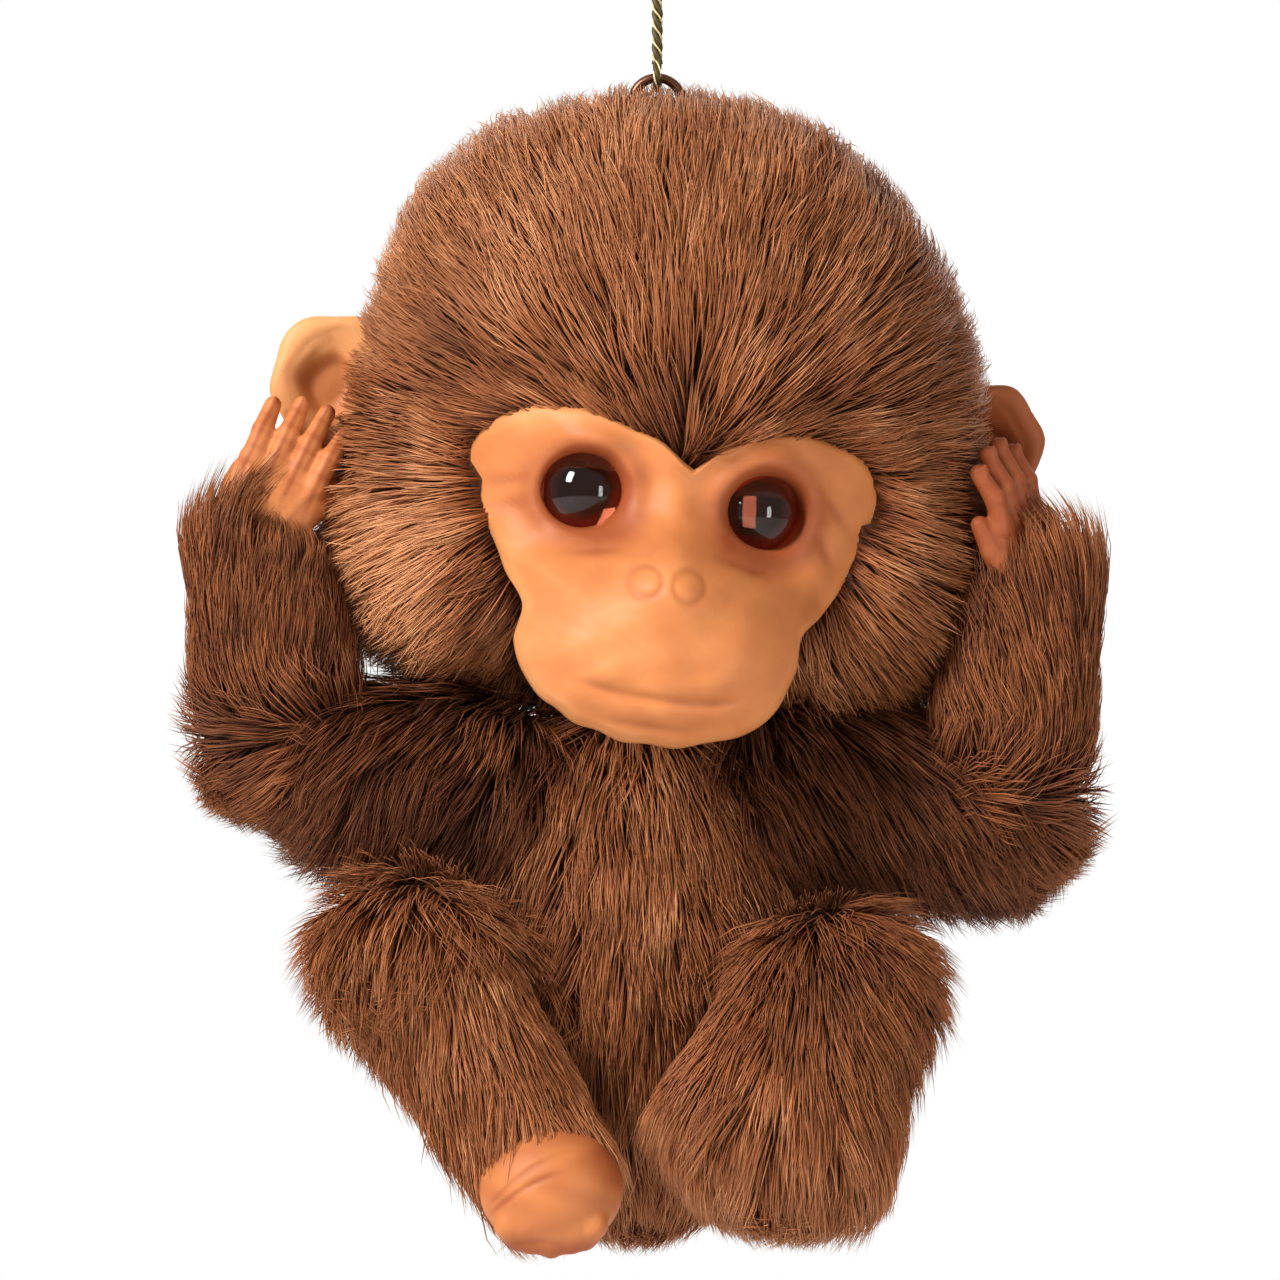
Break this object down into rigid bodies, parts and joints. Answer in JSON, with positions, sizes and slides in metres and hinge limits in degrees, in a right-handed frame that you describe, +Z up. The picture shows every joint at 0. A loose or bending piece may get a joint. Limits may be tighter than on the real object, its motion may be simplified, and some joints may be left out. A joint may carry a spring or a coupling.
{
  "type": "hanging plush monkey ornament",
  "caption": "Small hanging ornament of a furred monkey with a vinyl face, hands held over its ears, on a twisted cord loop.",
  "frame": {"origin": "inside top of the hanging loop, where the hook it hangs on bears", "axes": "+Z up along the hanging cord; the figure faces -Y; +X is the viewer's right"},
  "size_m": [0.0788, 0.054, 0.1312],
  "materials": {
    "fur": "red-brown long-pile faux fur, combed, with darker roots",
    "vinyl": "orange-tan moulded vinyl, painted darker in the creases, satin",
    "eye_dome": "clear red-brown domed eye, polished",
    "eye_back": "painted red-brown iris with a black pupil",
    "washer": "black moulded locking washer",
    "cord": "twisted olive-gold metallic cord",
    "copper_wire": "antique copper wire, slightly tarnished",
    "steel_wire": "plain annealed armature wire",
    "plug_wood": "turned softwood",
    "stuffing": "packed off-white fibre"
  },
  "bodies": {
    "hanger": {"hanging_loop": "cord", "loop_knot": "cord", "hanging_cord": "cord"},
    "tie": {"cord_tie": "cord"},
    "monkey": {"screw_eye": "copper_wire", "crown_plug": "plug_wood", "head_core": "stuffing", "face_mask": "vinyl", "head_fur_left": "fur", "head_fur_right": "fur", "ear_left": "vinyl", "ear_right": "vinyl", "eye_lens_left": "eye_dome", "eye_iris_left": "eye_back", "eye_washer_left": "washer", "eye_lens_right": "eye_dome", "eye_iris_right": "eye_back", "eye_washer_right": "washer", "torso_core": "stuffing", "torso_fur_front": "fur", "torso_fur_back": "fur", "shoulder_wire": "steel_wire", "hip_wire": "steel_wire", "spine_wire": "steel_wire", "neck_wire": "steel_wire"},
    "left_upper_arm": {"upper_arm_fur_left": "fur", "upper_arm_wire_left": "steel_wire"},
    "left_forearm": {"forearm_fur_left": "fur", "forearm_wire_left": "steel_wire", "hand_left": "vinyl"},
    "left_leg": {"thigh_fur_left": "fur", "thigh_wire_left": "steel_wire", "shin_fur_left": "fur", "shin_wire_left": "steel_wire", "foot_left": "vinyl"},
    "right_upper_arm": {"upper_arm_fur_right": "fur", "upper_arm_wire_right": "steel_wire"},
    "right_forearm": {"forearm_fur_right": "fur", "forearm_wire_right": "steel_wire", "hand_right": "vinyl"},
    "right_leg": {"thigh_fur_right": "fur", "thigh_wire_right": "steel_wire", "shin_fur_right": "fur", "shin_wire_right": "steel_wire", "foot_right": "vinyl"}
  },
  "joints": [
    {"name": "hang_spin", "type": "hinge", "parent": "hanger", "child": "tie", "pos_m": [0, 0, 0], "axis": [0, 0, 1], "continuous": true},
    {"name": "hang_swing", "type": "hinge", "parent": "tie", "child": "monkey", "pos_m": [0, 0, -0.02795], "axis": [1, 0, 0], "range_deg": [-60, 60]},
    {"name": "shoulder_left", "type": "hinge", "parent": "monkey", "child": "left_upper_arm", "pos_m": [-0.0125, 0.0015, -0.0906], "axis": [0.9613, 0.23, -0.1518], "range_deg": [0, 75]},
    {"name": "elbow_left", "type": "hinge", "parent": "left_upper_arm", "child": "left_forearm", "pos_m": [-0.0334, -0.0035, -0.0873], "axis": [0, -1, 0], "range_deg": [0, 55]},
    {"name": "hip_left", "type": "hinge", "parent": "monkey", "child": "left_leg", "pos_m": [-0.009, 0.0025, -0.1151], "axis": [1, 0, 0], "range_deg": [0, 40]},
    {"name": "shoulder_right", "type": "hinge", "parent": "monkey", "child": "right_upper_arm", "pos_m": [0.0095, 0.0015, -0.0901], "axis": [0.9723, -0.1826, -0.1461], "range_deg": [0, 75]},
    {"name": "elbow_right", "type": "hinge", "parent": "right_upper_arm", "child": "right_forearm", "pos_m": [0.0308, -0.0025, -0.0933], "axis": [0, 1, 0], "range_deg": [0, 55]},
    {"name": "hip_right", "type": "hinge", "parent": "monkey", "child": "right_leg", "pos_m": [0.008, 0.0025, -0.1151], "axis": [1, 0, 0], "range_deg": [0, 40]}
  ]
}
